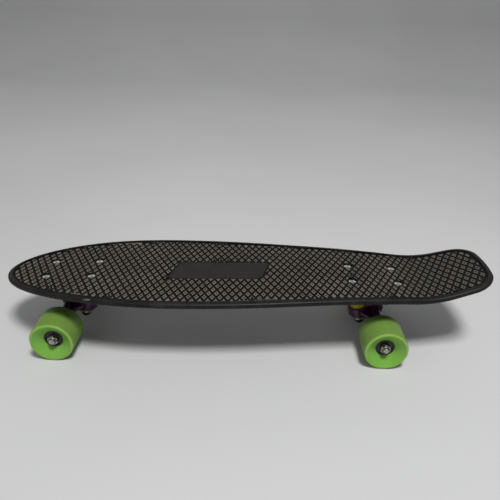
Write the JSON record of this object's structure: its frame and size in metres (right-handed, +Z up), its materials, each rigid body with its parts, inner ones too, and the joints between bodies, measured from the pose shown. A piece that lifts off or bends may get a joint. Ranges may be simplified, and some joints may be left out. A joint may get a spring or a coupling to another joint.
{
  "type": "cruiser skateboard",
  "caption": "Moulded plastic cruiser skateboard with a waffle deck and kicktail, sprung steering trucks and free-rolling urethane wheels on ball bearings.",
  "frame": {"origin": "on the floor under the middle of the deck's length and width", "axes": "+X from nose to tail, +Y to the right-hand side of a rider facing the nose, +Z up"},
  "size_m": [0.673, 0.1838, 0.1227],
  "materials": {
    "deck_plastic": "satin moulded black",
    "wheel_urethane": "satin lime green urethane",
    "core_plastic": "satin black",
    "truck_casting": "purple powder coat on cast aluminium",
    "bushing_urethane": "satin yellow urethane",
    "cup_urethane": "satin black",
    "bearing_shield": "dark pressed shield",
    "cage_nylon": "natural nylon",
    "ball_steel": "polished",
    "bearing_steel": "ground steel",
    "spacer_steel": "turned steel",
    "plated_steel": "bright zinc plate"
  },
  "bodies": {
    "board": {"deck": "deck_plastic", "truck_bolts": "plated_steel", "truck_bolt_nuts": "plated_steel", "front_baseplate": "truck_casting", "front_pivot_cup": "cup_urethane", "front_kingpin": "plated_steel", "front_kingpin_nut": "plated_steel", "front_boardside_bushing": "bushing_urethane", "front_roadside_bushing": "bushing_urethane", "front_cup_washers": "plated_steel", "rear_baseplate": "truck_casting", "rear_pivot_cup": "cup_urethane", "rear_kingpin": "plated_steel", "rear_kingpin_nut": "plated_steel", "rear_boardside_bushing": "bushing_urethane", "rear_roadside_bushing": "bushing_urethane", "rear_cup_washers": "plated_steel"},
    "front_truck": {"front_hanger": "truck_casting", "front_axle": "plated_steel", "front_axle_nuts": "plated_steel", "front_speed_washers": "plated_steel", "front_left_inner_rings": "bearing_steel", "front_left_spacer": "spacer_steel", "front_right_inner_rings": "bearing_steel", "front_right_spacer": "spacer_steel"},
    "rear_truck": {"rear_hanger": "truck_casting", "rear_axle": "plated_steel", "rear_axle_nuts": "plated_steel", "rear_speed_washers": "plated_steel", "rear_left_inner_rings": "bearing_steel", "rear_left_spacer": "spacer_steel", "rear_right_inner_rings": "bearing_steel", "rear_right_spacer": "spacer_steel"},
    "front_left_wheel": {"front_left_tyre": "wheel_urethane", "front_left_core": "core_plastic", "front_left_outer_rings": "bearing_steel", "front_left_shields": "bearing_shield"},
    "front_right_wheel": {"front_right_tyre": "wheel_urethane", "front_right_core": "core_plastic", "front_right_outer_rings": "bearing_steel", "front_right_shields": "bearing_shield"},
    "rear_left_wheel": {"rear_left_tyre": "wheel_urethane", "rear_left_core": "core_plastic", "rear_left_outer_rings": "bearing_steel", "rear_left_shields": "bearing_shield"},
    "rear_right_wheel": {"rear_right_tyre": "wheel_urethane", "rear_right_core": "core_plastic", "rear_right_outer_rings": "bearing_steel", "rear_right_shields": "bearing_shield"},
    "front_left_ball_set": {"front_left_balls": "ball_steel", "front_left_cages": "cage_nylon"},
    "front_right_ball_set": {"front_right_balls": "ball_steel", "front_right_cages": "cage_nylon"},
    "rear_left_ball_set": {"rear_left_balls": "ball_steel", "rear_left_cages": "cage_nylon"},
    "rear_right_ball_set": {"rear_right_balls": "ball_steel", "rear_right_cages": "cage_nylon"}
  },
  "joints": [
    {"name": "front_steer", "type": "hinge", "parent": "board", "child": "front_truck", "pos_m": [-0.23255, 0, 0.041], "axis": [-0.8014, 0, 0.5981], "range_deg": [-15, 15], "stiffness_Nm_per_rad": 25, "deforming": ["front_boardside_bushing", "front_roadside_bushing"]},
    {"name": "rear_steer", "type": "hinge", "parent": "board", "child": "rear_truck", "pos_m": [0.16725, 0, 0.041], "axis": [0.8014, 0, 0.5981], "range_deg": [-15, 15], "stiffness_Nm_per_rad": 25, "deforming": ["rear_boardside_bushing", "rear_roadside_bushing"]},
    {"name": "front_left_spin", "type": "hinge", "parent": "front_truck", "child": "front_left_wheel", "pos_m": [-0.25655, -0.0638, 0.0295], "axis": [0, 1, 0], "continuous": true},
    {"name": "front_right_spin", "type": "hinge", "parent": "front_truck", "child": "front_right_wheel", "pos_m": [-0.25655, 0.0638, 0.0295], "axis": [0, 1, 0], "continuous": true},
    {"name": "rear_left_spin", "type": "hinge", "parent": "rear_truck", "child": "rear_left_wheel", "pos_m": [0.19125, -0.0638, 0.0295], "axis": [0, 1, 0], "continuous": true},
    {"name": "rear_right_spin", "type": "hinge", "parent": "rear_truck", "child": "rear_right_wheel", "pos_m": [0.19125, 0.0638, 0.0295], "axis": [0, 1, 0], "continuous": true},
    {"name": "front_left_ball_orbit", "type": "hinge", "parent": "front_truck", "child": "front_left_ball_set", "pos_m": [-0.25655, -0.0638, 0.0295], "axis": [0, 1, 0], "continuous": true},
    {"name": "front_right_ball_orbit", "type": "hinge", "parent": "front_truck", "child": "front_right_ball_set", "pos_m": [-0.25655, 0.0638, 0.0295], "axis": [0, 1, 0], "continuous": true},
    {"name": "rear_left_ball_orbit", "type": "hinge", "parent": "rear_truck", "child": "rear_left_ball_set", "pos_m": [0.19125, -0.0638, 0.0295], "axis": [0, 1, 0], "continuous": true},
    {"name": "rear_right_ball_orbit", "type": "hinge", "parent": "rear_truck", "child": "rear_right_ball_set", "pos_m": [0.19125, 0.0638, 0.0295], "axis": [0, 1, 0], "continuous": true}
  ],
  "couplings": [
    {"joint": "front_left_ball_orbit", "follows": "front_left_spin", "ratio": 0.63233},
    {"joint": "front_right_ball_orbit", "follows": "front_right_spin", "ratio": 0.63233},
    {"joint": "rear_left_ball_orbit", "follows": "rear_left_spin", "ratio": 0.63233},
    {"joint": "rear_right_ball_orbit", "follows": "rear_right_spin", "ratio": 0.63233}
  ]
}
